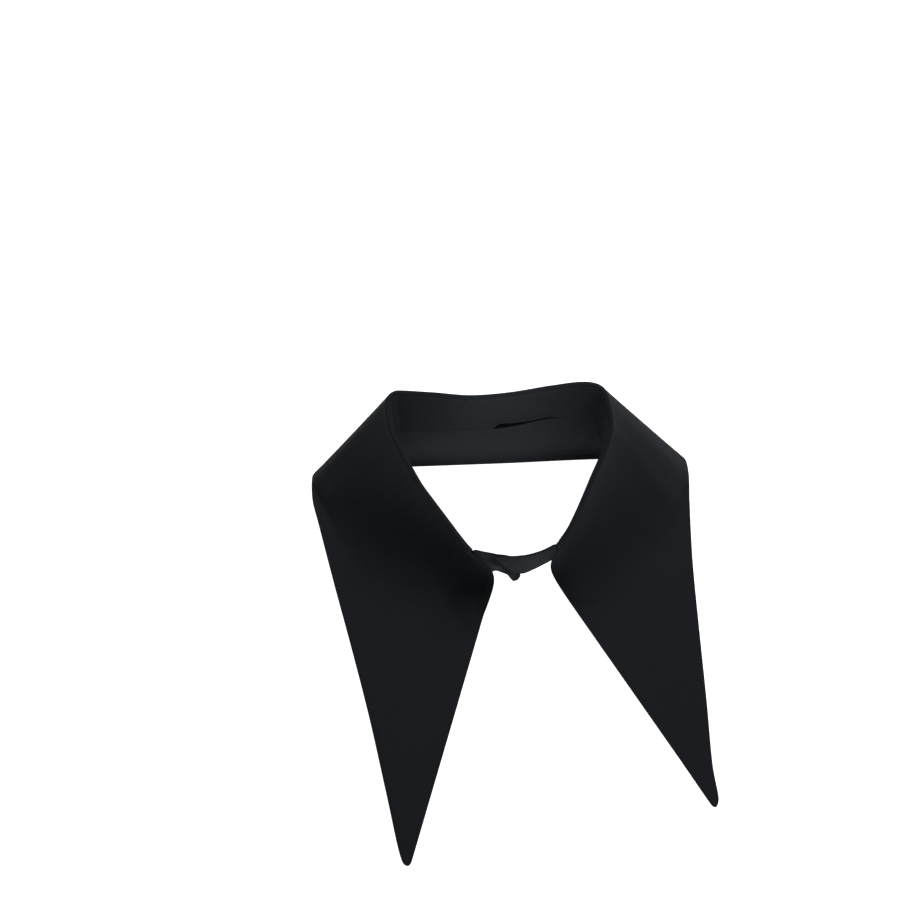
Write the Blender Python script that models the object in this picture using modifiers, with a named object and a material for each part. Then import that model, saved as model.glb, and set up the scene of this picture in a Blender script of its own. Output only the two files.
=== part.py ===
"""Detachable shirt collar with long points, fastened at the front and standing on a table.

The neck loop stands up like a low tent. The fall is sewn to the stand just below the roll, turns
over it and runs down outside. At the back the fall is a leaning panel that reaches the table. Past
a soft crease on each side it becomes a long leaf, steep beside the neckline and flat further out.

+X is the wearer's left, +Y is the back of the neck, +Z is up. The table is z = 0, and the origin
is the middle of the collar's outline on the table.
"""

import math
from collections import namedtuple

import bpy
import numpy as np
from mathutils import Vector

MM = 0.001

# Driving sizes, in millimetres
CLOTH = 1.2              # fall and stand: two shirting layers and a stiffener, pressed together
SEAM_GAP = 0.3           # kept between two pieces that are sewn to each other
ROLL_RADIUS = 1.5        # the fall's turn over the top of the stand, at the middle of the wall
SEAM_DROP = 4.0          # the fall and stand seam lies this far below the top of the roll
ROLL_STEPS = 6           # wall pieces round the roll
PANEL_STEPS = 13         # wall pieces from the roll to the outer edge
CURVE_STEPS = 40         # points that a section's bend is read from
STAND_STEPS = 5          # wall pieces down the stand
FOLD_STEP = 5.0          # longest piece along the fold
EDGE_STEP = 12.0         # longest piece along the outer edge
EDGE_LIFT = 0.21         # middle of the wall at the foot of the leaning back panel
FLAT = CLOTH / 2         # middle of the wall where it lies on the table

SNAP_RADIUS = 2.8
SNAP_HOLE_RADIUS = 1.3
SNAP_KNOB_RADIUS = 0.95
SOCKET_THICK = 0.75
STUD_THICK = 0.45
KNOB_LENGTH = 0.75
SNAP_CENTRE = (3.3, 34.4, 15.2)   # middle of the space between the two band ends

# A section of the fall runs from the fold to the outer edge. It leaves the fold towards `bend`,
# turns to reach the wall's lying height at `land`, and goes straight on to `edge`. `tight` is how
# closely it keeps to `bend`: 1 is a soft turn. `hang` is the stand's free lower edge below that
# section: its height, how far it lies along X and Y from the stand's top edge, and its belly.
Section = namedtuple("Section", "fold bend land edge tight hang")


def leaf(fold, bend, land, edge, hang, tight=1.0):
    """A section of a leaf: it comes down steeply and lies flat from `land` outwards."""
    return Section(fold, bend, land + (FLAT,), edge + (FLAT,), tight, hang)


def panel(fold, edge, hang, lift=EDGE_LIFT):
    """A section of the back: straight from the fold down to the table."""
    foot = edge + (lift,)
    middle = tuple((a + b) / 2 for a, b in zip(fold, foot))
    near_foot = tuple(a + 0.95 * (b - a) for a, b in zip(fold, foot))
    return Section(fold, middle, near_foot, foot, 1.0, hang)


FALL_SECTIONS = (
    # leaf on the wearer's right, from its front edge round its tip and back to the crease
    leaf((-19.4, 34.1, 27.0), (-1.8, 31.4, 3.9), (-10.6, 8.0), (-49.6, -129.4), (24.0, 1.2, 1.6, 1.5), 2.6),
    leaf((-20.0, 34.9, 27.1), (-3.1, 31.5, 3.9), (-11.8, 8.2), (-51.1, -134.2), (24.0, 1.2, 1.6, 1.5), 2.5),
    leaf((-20.6, 35.7, 27.2), (-4.5, 31.6, 3.8), (-13.0, 8.5), (-53.0, -135.7), (24.0, 1.2, 1.6, 1.5), 2.4),
    leaf((-21.2, 36.5, 27.3), (-6.1, 31.9, 3.6), (-14.3, 8.7), (-55.3, -134.2), (24.0, 1.1, 1.5, 1.3), 2.3),
    leaf((-21.8, 37.3, 27.4), (-7.8, 32.4, 3.3), (-15.6, 9.0), (-57.1, -129.6), (24.0, 1.0, 1.4, 1.1), 2.2),
    leaf((-26.7, 44.4, 28.5), (-21.0, 36.0, 1.5), (-32.0, 10.0), (-64.4, -100.1), (24.5, 0.5, 0.7, 0.4), 1.6),
    leaf((-32.8, 53.2, 30.3), (-35.0, 42.0, 1.0), (-49.0, 13.0), (-75.7, -54.7), (25.0, 0.0, 0.0, 0.0), 1.2),
    leaf((-42.4, 65.5, 34.5), (-50.0, 53.5, 1.0), (-70.0, 20.0), (-87.8, -11.4), (25.5, 0.0, 0.0, 0.0)),
    leaf((-49.9, 75.0, 39.0), (-62.0, 64.0, 3.0), (-86.0, 39.0), (-98.9, 26.5), (25.0, 1.0, 0.0, 0.0)),
    leaf((-59.2, 90.1, 47.0), (-77.5, 81.5, 10.0), (-103.0, 70.5), (-110.2, 66.5), (24.0, 2.0, -2.0, 0.0)),
    leaf((-66.6, 105.5, 53.0), (-89.0, 97.5, 22.0), (-111.5, 88.8), (-115.8, 87.2), (23.5, 2.5, -5.0, 0.0)),
    # crease and back
    panel((-68.4, 119.4, 56.0), (-116.6, 99.7), (23.3, 2.7, -7.9, 0.0), FLAT),
    panel((-64.8, 126.4, 56.2), (-112.6, 107.1), (23.2, 1.5, -8.9, 0.0)),
    panel((-43.0, 126.0, 56.2), (-72.0, 109.8), (22.4, 0.0, -8.3, 0.0)),
    panel((-19.0, 123.0, 57.2), (-32.0, 111.6), (21.8, 0.0, -5.6, 0.0)),
    panel((5.0, 125.6, 56.7), (8.0, 113.4), (20.1, 0.0, -5.9, 0.0)),
    panel((29.0, 131.2, 55.7), (50.0, 115.8), (17.1, 0.0, -6.9, 0.0)),
    panel((50.0, 134.5, 55.2), (88.0, 117.0), (17.0, 0.0, -7.9, 0.0)),
    panel((59.5, 131.6, 54.8), (115.0, 117.2), (18.7, -1.5, -7.8, 0.0)),
    panel((63.4, 121.0, 54.0), (117.6, 104.8), (21.0, -2.5, -6.0, 0.0), FLAT),
    # leaf on the wearer's left, from the crease forward round its tip to its front edge
    leaf((64.7, 108.6, 51.0), (89.0, 97.5, 20.0), (112.0, 86.0), (116.2, 84.0), (23.0, -2.0, -4.0, 0.0)),
    leaf((60.5, 93.5, 46.0), (79.0, 83.0, 10.0), (105.0, 67.0), (114.6, 61.1), (25.0, -1.0, -1.0, 0.0)),
    leaf((52.9, 77.4, 40.0), (67.0, 67.0, 4.0), (92.0, 50.0), (113.4, 37.2), (25.5, 0.0, 0.0, 0.0)),
    leaf((45.4, 61.5, 34.0), (56.0, 51.5, 1.0), (80.0, 30.0), (112.6, 1.2), (25.0, 0.0, 0.0, 0.0)),
    leaf((39.4, 49.9, 30.5), (45.0, 41.0, 2.5), (64.0, 18.0), (111.8, -45.0), (25.0, 0.0, 0.0, 0.0), 1.3),
    leaf((35.1, 43.6, 28.3), (33.0, 36.5, 5.0), (51.5, 13.7), (110.8, -82.0), (24.5, 0.0, 0.0, 0.0), 1.8),
    leaf((33.8, 41.8, 27.7), (28.9, 36.2, 6.0), (44.3, 14.8), (111.9, -99.2), (24.0, 0.0, 0.0, 0.0), 2.2),
    leaf((33.3, 41.1, 27.5), (27.8, 36.2, 6.3), (42.6, 15.6), (111.1, -103.2), (24.0, 0.0, 0.0, 0.0), 2.3),
    leaf((32.8, 40.5, 27.3), (26.7, 36.2, 6.6), (41.0, 16.2), (109.6, -105.0), (24.0, 0.0, 0.0, 0.0), 2.4),
    leaf((32.3, 39.8, 27.1), (25.8, 36.2, 6.9), (39.6, 16.8), (107.8, -104.2), (24.0, 0.0, 0.0, 0.0), 2.5),
    leaf((31.8, 39.2, 27.0), (25.0, 36.2, 7.2), (38.1, 17.3), (106.1, -101.0), (24.0, 0.0, 0.0, 0.0), 2.6),
)

# Past the fall's front edges the stand runs on as two free bands that cross at the front.
# `belly` is how far the middle of the band is held back from a straight line, towards the neck.
Band = namedtuple("Band", "top bottom belly")

RIGHT_BAND = (
    # the wearer's right band, from its rounded end to the fall; it lies under the other one
    Band((11.6, 35.6, 12.0), (11.5, 34.6, 6.5), 0.2),
    Band((9.9, 36.1, 16.4), (9.4, 31.0, 1.4), 1.5),
    Band((6.3, 36.2, 18.4), (6.4, 29.2, 0.8), 2.5),
    Band((1.5, 36.2, 20.0), (2.0, 32.0, 2.6), 1.9),
    Band((-5.1, 34.9, 24.2), (-3.2, 33.4, 3.8), 0.3),
    Band((-11.4, 35.2, 26.0), (-9.6, 35.6, 1.2), 0.4),
    Band((-16.4, 35.9, 27.6), (-15.8, 36.9, 0.8), 0.9),
    Band((-17.5, 36.3, 22.7), (-16.9, 37.3, 0.8), 1.2),
)
LEFT_BAND = (
    # the wearer's left band, from the fall to its rounded end; it lies on top
    Band((29.8, 40.6, 22.7), (29.8, 40.6, 4.5), 0.0),
    Band((28.7, 39.8, 26.2), (28.9, 39.6, 6.0), 0.0),
    Band((23.8, 37.5, 24.9), (24.0, 37.1, 7.0), 0.0),
    Band((17.9, 35.4, 24.4), (18.0, 34.7, 5.6), 0.0),
    Band((12.1, 34.0, 24.3), (12.0, 32.2, 6.4), 0.0),
    Band((6.4, 33.4, 24.4), (6.5, 31.6, 8.9), 0.0),
    Band((1.2, 33.2, 24.5), (1.6, 32.0, 13.5), 0.0),
    Band((-2.4, 33.0, 24.6), (-2.2, 32.8, 19.5), 0.0),
    Band((-3.6, 33.0, 23.8), (-3.5, 32.9, 22.0), 0.0),
)
BAND_STEPS = 2           # wall pieces between two of these rows
CORNER_ROWS = 2          # rows of the fold next to each front edge that the stand passes inside

CLOTH_COLOUR = (0.012, 0.013, 0.017, 1.0)
SNAP_COLOUR = (0.03, 0.03, 0.032, 1.0)


def slopes(place, value):
    """Slopes of a smooth curve through the values that never overshoots them."""
    step = np.diff(place)
    rise = np.diff(value, axis=0) / step[:, None]
    slope = np.zeros_like(value)
    slope[0] = rise[0]
    slope[-1] = rise[-1]
    before = rise[:-1]
    after = rise[1:]
    share = (step[1:] / (step[:-1] + step[1:]))[:, None]
    mean = share * before + (1 - share) * after
    limit = 3 * np.minimum(abs(before), abs(after))
    same_way = before * after > 0
    slope[1:-1] = np.where(same_way, np.clip(mean, -limit, limit), 0.0)
    return slope


def smooth_rows(rows, counts):
    """Rows read from a smooth curve through the given ones, `counts[i]` steps after row i."""
    value = np.array(rows, dtype=float)
    place = np.concatenate([[0.0], np.cumsum(counts)])
    slope = slopes(place, value)
    result = []
    for i, count in enumerate(counts):
        for k in range(count):
            t = k / count
            h = place[i + 1] - place[i]
            result.append(value[i] * (1 + 2 * t) * (1 - t) ** 2
                          + slope[i] * h * t * (1 - t) ** 2
                          + value[i + 1] * t ** 2 * (3 - 2 * t)
                          + slope[i + 1] * h * t ** 2 * (t - 1))
    result.append(value[-1])
    return np.array(result)


def distance(a, b):
    return float(np.linalg.norm(np.subtract(a, b)))


def fall_rows():
    """The fall's sections, evened out to short steps: fold, bend, land, edge, hang, tight."""
    rows = [s.fold + s.bend + s.land + s.edge + s.hang + (s.tight,) for s in FALL_SECTIONS]
    counts = []
    for one, two in zip(FALL_SECTIONS, FALL_SECTIONS[1:]):
        along_fold = distance(one.fold, two.fold) / FOLD_STEP
        along_edge = distance(one.edge, two.edge) / EDGE_STEP
        counts.append(max(1, math.ceil(max(along_fold, along_edge))))
    return smooth_rows(rows, counts)


def outward_normals(points):
    """Level unit vectors that point away from the neck, across a line that runs round it."""
    tangent = np.gradient(np.asarray(points)[:, :2], axis=0)
    tangent /= np.linalg.norm(tangent, axis=1)[:, None]
    return np.column_stack([-tangent[:, 1], tangent[:, 0], np.zeros(len(tangent))])


def along(points, fractions):
    """Points at the given fractions of the length of a line."""
    points = np.asarray(points)
    length = np.concatenate([[0.0], np.cumsum(np.linalg.norm(np.diff(points, axis=0), axis=1))])
    targets = np.asarray(fractions) * length[-1]
    return np.column_stack([np.interp(targets, length, points[:, k]) for k in range(3)])


def bend_curve(start, middle, end, steps, tight=1.0):
    """A curve that leaves `start` and reaches `end` in line with `middle`, nearer to it if tight."""
    t = np.linspace(0.0, 1.0, steps + 1)[:, None]
    pull = tight * 2 * t * (1 - t)
    total = (1 - t) ** 2 + pull + t ** 2
    return (start * (1 - t) ** 2 + middle * pull + end * t ** 2) / total


def fall_section(row, outward):
    """Points of one section of the fall, from its seam over the roll to the outer edge."""
    fold, bend, land, edge = row[0:3], row[3:6], row[6:9], row[9:12]
    up = np.array([0.0, 0.0, 1.0])
    axis = fold - up * ROLL_RADIUS
    seam = fold - up * SEAM_DROP - outward * ROLL_RADIUS
    angles = np.linspace(math.pi, 0.0, ROLL_STEPS)
    roll = [axis + outward * ROLL_RADIUS * math.cos(a) + up * ROLL_RADIUS * math.sin(a) for a in angles]
    start = roll[-1]
    hang = np.vstack([bend_curve(start, bend, land, CURVE_STEPS, row[16]), edge])
    fractions = np.linspace(0.0, 1.0, PANEL_STEPS + 1) ** 1.4
    return np.vstack([seam, roll[:-1], along(hang, fractions)])


def fall_grid():
    rows = fall_rows()
    normals = outward_normals(rows[:, 0:3])
    return np.array([fall_section(row, normal) for row, normal in zip(rows, normals)])


def stand_rows():
    """The stand's top, bottom and belly all the way round, from one band end to the other."""
    rows = fall_rows()
    normals = outward_normals(rows[:, 0:3])
    up = np.array([0.0, 0.0, 1.0])
    body = []
    for row, outward in zip(rows, normals):
        top = row[0:3] - up * (SEAM_DROP + SEAM_GAP) - outward * ROLL_RADIUS
        height = min(row[12], top[2] - FLAT)
        bottom = top + np.array([row[13], row[14], -height])
        body.append(tuple(top) + tuple(bottom) + (row[15],))
    # the stand turns the corners just inside the fall's front edges, so it leaves the fold there
    body = body[CORNER_ROWS:-CORNER_ROWS]
    right = [b.top + b.bottom + (b.belly,) for b in RIGHT_BAND] + [body[0]]
    left = [body[-1]] + [b.top + b.bottom + (b.belly,) for b in LEFT_BAND]
    right = smooth_rows(right, [BAND_STEPS] * (len(right) - 2) + [1])
    left = smooth_rows(left, [1] + [BAND_STEPS] * (len(left) - 2))
    return np.vstack([right[:-1], body, left[1:]])


def stand_grid():
    rows = stand_rows()
    normals = outward_normals((rows[:, 0:3] + rows[:, 3:6]) / 2)
    grid = []
    for row, outward in zip(rows, normals):
        top, bottom, belly = row[0:3], row[3:6], row[6]
        middle = (top + bottom) / 2 - outward * belly
        grid.append(bend_curve(top, 2 * middle - (top + bottom) / 2, bottom, STAND_STEPS))
    return np.array(grid)


def plain_material(name, colour, roughness, metallic=0.0):
    material = bpy.data.materials.new(name)
    material.use_nodes = True
    shader = material.node_tree.nodes["Principled BSDF"]
    shader.inputs["Base Color"].default_value = colour
    shader.inputs["Roughness"].default_value = roughness
    shader.inputs["Metallic"].default_value = metallic
    return material


def sheet_object(name, grid, material, collection):
    """An open surface over a grid of points, made into a wall by Solidify."""
    across = grid.shape[1]
    points = (grid * MM).reshape(-1, 3)
    faces = []
    for i in range(grid.shape[0] - 1):
        for k in range(across - 1):
            corner = i * across + k
            faces.append((corner, corner + 1, corner + across + 1, corner + across))
    mesh = bpy.data.meshes.new(name)
    mesh.from_pydata(points.tolist(), [], faces)
    mesh.materials.append(material)
    piece = bpy.data.objects.new(name, mesh)
    collection.objects.link(piece)
    wall = piece.modifiers.new("wall", "SOLIDIFY")
    wall.thickness = CLOTH * MM
    wall.offset = 0.0
    wall.use_even_offset = True
    return piece


def rest_on_table(piece):
    """Applies the wall and levels what lies within a hair of the table, so it rests flat."""
    hair = 0.12 * MM
    evaluated = piece.evaluated_get(bpy.context.evaluated_depsgraph_get())
    mesh = bpy.data.meshes.new_from_object(evaluated)
    mesh.name = piece.name
    piece.modifiers.clear()
    piece.data = mesh
    for vertex in mesh.vertices:
        if vertex.co.z < hair:
            vertex.co.z = 0.0
    mesh.shade_smooth()
    mesh.set_sharp_from_angle(angle=math.radians(40))


def centre_on_origin(pieces):
    """Moves the pieces level so that the middle of their outline is over the origin."""
    bpy.context.view_layer.update()
    depsgraph = bpy.context.evaluated_depsgraph_get()
    corners = []
    for piece in pieces:
        evaluated = piece.evaluated_get(depsgraph)
        corners += [evaluated.matrix_world @ Vector(corner) for corner in evaluated.bound_box]
    for axis in (0, 1):
        values = [corner[axis] for corner in corners]
        middle = (min(values) + max(values)) / 2
        for piece in pieces:
            piece.location[axis] -= middle


def turned_disc(name, profile, material, collection):
    """A round solid turned about a level axis that points forward, at the snap's place."""
    mesh = bpy.data.meshes.new(name)
    points = [(radius * MM, 0.0, depth * MM) for radius, depth in profile]
    edges = [(i, i + 1) for i in range(len(points) - 1)]
    if profile[0][0] > 0:
        edges.append((len(points) - 1, 0))
    mesh.from_pydata(points, edges, [])
    mesh.materials.append(material)
    piece = bpy.data.objects.new(name, mesh)
    collection.objects.link(piece)
    turn = piece.modifiers.new("turn", "SCREW")
    turn.steps = 20
    turn.render_steps = 20
    turn.use_merge_vertices = True
    turn.merge_threshold = 0.00001
    piece.location = [c * MM for c in SNAP_CENTRE]
    piece.rotation_euler = (math.radians(90), 0.0, 0.0)
    return piece


def build():
    for old in list(bpy.data.objects):
        bpy.data.objects.remove(old)
    collection = bpy.data.collections.new("detachable_collar")
    bpy.context.scene.collection.children.link(collection)

    cloth = plain_material("black_shirting", CLOTH_COLOUR, 0.8)
    snap = plain_material("snap_plastic", SNAP_COLOUR, 0.45)
    fall = sheet_object("collar_fall", fall_grid(), cloth, collection)
    stand = sheet_object("collar_stand", stand_grid(), cloth.copy(), collection)
    bpy.context.view_layer.update()
    rest_on_table(fall)
    rest_on_table(stand)

    # Depth is measured forward from the middle of the space between the bands
    socket_back = 0.1
    socket_front = socket_back + SOCKET_THICK
    socket = turned_disc("snap_socket",
                         [(SNAP_RADIUS, socket_front), (SNAP_RADIUS, socket_back),
                          (SNAP_HOLE_RADIUS, socket_back), (SNAP_HOLE_RADIUS, socket_front)],
                         snap, collection)
    stud_front = socket_back - SEAM_GAP
    stud_back = stud_front - STUD_THICK
    stud = turned_disc("snap_stud",
                       [(0.0, stud_front + KNOB_LENGTH), (SNAP_KNOB_RADIUS, stud_front + KNOB_LENGTH),
                        (SNAP_KNOB_RADIUS, stud_front), (SNAP_RADIUS, stud_front),
                        (SNAP_RADIUS, stud_back), (0.0, stud_back)],
                       snap.copy(), collection)
    centre_on_origin([fall, stand, socket, stud])


build()
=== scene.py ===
"""Looks of the detachable shirt collar: fine cloth shells, topstitching, snap finish, floor, light
and camera.

The cloth follows the same sections as its solids, at a finer step. Every measure is in millimetres
until a mesh is made. +X is the wearer's left, +Y is the back of the neck, +Z is up, and the table
is z = 0.
"""
import math
from collections import namedtuple

import bpy
import numpy as np
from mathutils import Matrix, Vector


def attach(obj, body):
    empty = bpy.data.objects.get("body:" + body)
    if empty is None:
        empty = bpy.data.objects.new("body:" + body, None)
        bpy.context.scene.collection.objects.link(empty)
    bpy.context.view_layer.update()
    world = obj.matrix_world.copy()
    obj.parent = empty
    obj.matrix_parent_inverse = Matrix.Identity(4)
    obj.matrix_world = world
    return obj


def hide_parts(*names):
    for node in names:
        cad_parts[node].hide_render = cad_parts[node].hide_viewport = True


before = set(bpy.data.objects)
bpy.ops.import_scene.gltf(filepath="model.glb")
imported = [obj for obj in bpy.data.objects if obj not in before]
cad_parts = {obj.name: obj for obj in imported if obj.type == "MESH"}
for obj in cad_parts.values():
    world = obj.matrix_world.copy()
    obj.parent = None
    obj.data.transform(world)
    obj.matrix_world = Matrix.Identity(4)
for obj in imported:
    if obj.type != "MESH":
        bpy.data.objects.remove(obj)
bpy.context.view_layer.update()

MM = 0.001

# The cloth
CENTRE = np.array([-0.479, -0.468, 0.0])   # moves the sections so that the outline's middle is at 0
CLOTH = 1.2              # fall and stand: two shirting layers and a stiffener, pressed together
FLAT = CLOTH / 2         # middle of the wall where it lies on the table
EDGE_LIFT = 0.21         # middle of the wall at the foot of the leaning back panel
SEAM_GAP = 0.03
SEAM_DROP = 2.4          # the fall and stand seam shows this far below the top of the roll
SEAM_RAISED = 1.6        # and this far above the tops that the sections' `hang` starts from
ROLL_RADIUS = 1.5        # the fall's turn over the top of the stand, at the middle of the wall
CURVE_STEPS = 240        # points that a section's bend is read from
BAND_STEPS = 2           # steps between two rows of a band
CORNER_ROWS = 2          # rows of the fold next to each front edge that the stand passes inside
FOLD_STEP = 5.0          # the steps that the sections' curves are measured in
EDGE_STEP = 12.0

# Finer steps of the shells
FALL_FINENESS = 5        # rows for each step of the sections
STAND_FINENESS = 4
RIM_PLACES = (0.0, 0.04, 0.14, 0.3, 0.5, 0.75)   # lines near a rim, which round it off
RIM_RADIUS = 0.55        # the turned edges are this round
SHARP_FROM = math.radians(50)
SEAM_RIM = 0.05          # at the seam the two walls meet nearly flush
FOLD_FRONT = 42.0        # behind this y the stand's top is sewn into the fold; in front it is free

# Turned edges and topstitching
STITCH_INSET = 2.0       # the fall's edge stitching runs this far inside its edges
STAND_INSET = 1.6        # the stand's runs closer to the edge
STITCH_PITCH = 2.6
STITCH_LENGTH = 2.0
STITCH_RADIUS = 0.12
ALLOWANCE = 0.10         # the seam allowance inside lifts each face by this much
ALLOWANCE_WIDTH = 6.0
GROOVE = 0.10            # how deep the stitches sink in
PUCKER = 0.05            # height of the small waves that the stitching draws up
STAND_RELIEF = 0.6       # all of this is lower on the stand
SEAM_PUCKER = 0.55       # height of the short puckers under the fold, left of the centre back
SEAM_PUCKER_DEEP = 2.6

# A section of the fall runs from the fold to the outer edge. It leaves the fold towards `bend`,
# turns to reach the wall's lying height at `land`, and goes straight on to `edge`. `tight` is how
# closely it keeps to `bend`: 1 is a soft turn. `hang` is the stand's free lower edge below that
# section: its height, how far it lies along X and Y from the stand's top edge, and its belly.
Section = namedtuple("Section", "fold bend land edge tight hang")


def leaf(fold, bend, land, edge, hang, tight=1.0):
    """A section of a leaf: it comes down steeply and lies flat from `land` outwards."""
    return Section(fold, bend, land + (FLAT,), edge + (FLAT,), tight, hang)


def panel(fold, edge, hang, lift=EDGE_LIFT):
    """A section of the back: straight from the fold down to the table."""
    foot = edge + (lift,)
    middle = tuple((a + b) / 2 for a, b in zip(fold, foot))
    near_foot = tuple(a + 0.95 * (b - a) for a, b in zip(fold, foot))
    return Section(fold, middle, near_foot, foot, 1.0, hang)


FALL_SECTIONS = (
    # leaf on the wearer's right, from its front edge round its tip and back to the crease
    leaf((-19.4, 35.0, 28.3), (-1.3, 31.6, 8.1), (-11.3, 8.0), (-49.6, -129.4), (24.0, 1.2, 1.6, 1.5), 2.6),
    leaf((-20.0, 35.7, 28.3), (-2.6, 31.7, 8.0), (-12.4, 8.2), (-51.1, -134.2), (24.0, 1.2, 1.6, 1.5), 2.5),
    leaf((-20.6, 36.4, 28.3), (-3.9, 31.8, 7.6), (-13.5, 8.5), (-53.0, -135.7), (24.0, 1.2, 1.6, 1.5), 2.4),
    leaf((-21.2, 37.1, 28.3), (-5.4, 32.0, 7.0), (-14.7, 8.7), (-55.3, -134.2), (24.0, 1.1, 1.5, 1.3), 2.3),
    leaf((-21.8, 37.8, 28.3), (-7.0, 32.4, 6.0), (-15.9, 9.0), (-57.1, -129.6), (24.0, 1.0, 1.4, 1.1), 2.2),
    leaf((-26.7, 44.6, 28.9), (-21.0, 36.0, 1.5), (-32.0, 10.0), (-64.4, -100.1), (24.5, 0.5, 0.7, 0.4), 1.6),
    leaf((-32.8, 53.2, 30.3), (-35.0, 42.0, 1.0), (-49.0, 13.0), (-75.7, -54.7), (25.0, 0.0, 0.0, 0.0), 1.2),
    leaf((-42.4, 65.5, 34.5), (-50.0, 53.5, 1.0), (-70.0, 20.0), (-87.8, -11.4), (25.5, 0.0, 0.0, 0.0)),
    leaf((-49.9, 75.0, 39.0), (-62.0, 64.0, 3.0), (-86.0, 39.0), (-98.9, 26.5), (25.0, 1.0, 0.0, 0.0)),
    leaf((-59.2, 90.1, 47.0), (-77.5, 81.5, 10.0), (-103.0, 70.5), (-110.2, 66.5), (24.0, 2.0, -2.0, 0.0)),
    leaf((-66.6, 105.5, 53.0), (-89.0, 97.5, 22.0), (-111.5, 88.8), (-115.8, 87.2), (23.5, 2.5, -5.0, 0.0)),
    # crease and back
    panel((-68.3, 118.6, 56.4), (-116.6, 99.7), (23.3, 2.7, -7.9, 0.0), FLAT),
    panel((-62.0, 126.5, 57.2), (-112.6, 107.1), (23.2, 1.5, -8.9, 0.0)),
    panel((-43.0, 126.0, 56.2), (-72.0, 109.8), (22.4, 0.0, -8.3, 0.0)),
    panel((-19.0, 123.0, 57.2), (-32.0, 111.6), (21.8, 0.0, -5.6, 0.0)),
    panel((5.0, 125.6, 56.7), (8.0, 113.4), (20.1, 0.0, -5.9, 0.0)),
    panel((29.0, 131.2, 55.7), (50.0, 115.8), (17.1, 0.0, -6.9, 0.0)),
    panel((50.0, 134.5, 55.2), (88.0, 117.0), (17.0, 0.0, -7.9, 0.0)),
    panel((59.5, 131.6, 54.8), (115.0, 117.2), (18.7, -1.5, -7.8, 0.0)),
    panel((63.4, 121.0, 54.0), (117.6, 104.8), (21.0, -2.5, -6.0, 0.0), FLAT),
    # leaf on the wearer's left, from the crease forward round its tip to its front edge
    leaf((64.7, 108.6, 51.0), (89.0, 97.5, 20.0), (112.0, 86.0), (116.2, 84.0), (23.0, -2.0, -4.0, 0.0)),
    leaf((60.5, 93.5, 46.0), (79.0, 83.0, 10.0), (105.0, 67.0), (114.6, 61.1), (25.0, -1.0, -1.0, 0.0)),
    leaf((52.9, 77.4, 40.0), (67.0, 67.0, 4.0), (92.0, 50.0), (113.4, 37.2), (25.5, 0.0, 0.0, 0.0)),
    leaf((45.4, 61.5, 34.0), (56.0, 51.5, 1.0), (80.0, 30.0), (112.6, 1.2), (25.0, 0.0, 0.0, 0.0)),
    leaf((39.4, 49.9, 30.5), (45.0, 41.0, 2.5), (64.0, 18.0), (111.8, -45.0), (25.0, 0.0, 0.0, 0.0), 1.3),
    leaf((35.1, 43.6, 28.3), (33.0, 36.5, 5.0), (51.5, 13.7), (110.8, -82.0), (24.5, 0.0, 0.0, 0.0), 1.8),
    leaf((33.8, 41.8, 27.7), (28.9, 36.2, 6.0), (44.3, 14.8), (111.9, -99.2), (24.0, 0.0, 0.0, 0.0), 2.2),
    leaf((33.3, 41.1, 27.5), (27.8, 36.2, 6.3), (42.6, 15.6), (111.1, -103.2), (24.0, 0.0, 0.0, 0.0), 2.3),
    leaf((32.8, 40.5, 27.3), (26.7, 36.2, 6.6), (41.0, 16.2), (109.6, -105.0), (24.0, 0.0, 0.0, 0.0), 2.4),
    leaf((32.3, 39.8, 27.1), (25.8, 36.2, 6.9), (39.6, 16.8), (107.8, -104.2), (24.0, 0.0, 0.0, 0.0), 2.5),
    leaf((31.8, 39.2, 27.0), (25.0, 36.2, 7.2), (38.1, 17.3), (106.1, -101.0), (24.0, 0.0, 0.0, 0.0), 2.6),
)

# Past the fall's front edges the stand runs on as two free bands that cross at the front.
# `belly` is how far the middle of the band is held back from a straight line, towards the neck.
Band = namedtuple("Band", "top bottom belly")

RIGHT_BAND = (
    # the wearer's right band, from its rounded end to the fall; it lies under the other one
    Band((10.8, 35.6, 12.6), (10.7, 34.6, 8.2), 0.2),
    Band((9.4, 36.1, 16.4), (9.3, 31.8, 2.6), 1.5),
    Band((6.1, 36.2, 18.4), (6.2, 30.6, 1.3), 2.0),
    Band((1.5, 36.2, 20.0), (2.0, 32.4, 8.3), 1.4),
    Band((-5.1, 34.9, 24.2), (-3.2, 33.6, 8.6), 0.3),
    Band((-11.4, 35.2, 26.0), (-9.6, 35.6, 1.2), 0.4),
    Band((-16.2, 36.0, 26.6), (-15.8, 36.9, 0.8), 0.9),
    Band((-18.3, 36.8, 24.4), (-16.9, 37.3, 0.8), 1.2),
)
LEFT_BAND = (
    # the wearer's left band, from the fall to its rounded end; it lies on top
    Band((30.7, 41.2, 24.2), (29.8, 40.6, 7.0), 0.0),
    Band((28.9, 39.9, 26.0), (28.9, 39.6, 9.0), 0.0),
    Band((23.8, 37.5, 24.9), (24.0, 37.1, 8.2), 0.0),
    Band((17.9, 35.4, 24.4), (18.0, 34.7, 6.4), 0.0),
    Band((12.1, 34.0, 24.3), (12.0, 31.7, 6.9), 0.0),
    Band((6.4, 33.4, 24.4), (6.5, 30.9, 9.3), 0.0),
    Band((1.2, 33.2, 24.5), (1.6, 31.2, 14.2), 0.0),
    Band((-4.0, 33.0, 24.7), (-3.0, 32.2, 20.2), 0.0),
    Band((-5.2, 33.0, 24.2), (-5.0, 32.7, 22.6), 0.0),
)

# A crease runs along the cloth through plan points from `start` to `end`. Its middle sinks by
# `depth` (a negative depth makes a ridge) over `width` to each side, and it fades over the share
# `fade` of its length at both ends.
Crease = namedtuple("Crease", "start end width depth fade")

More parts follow.
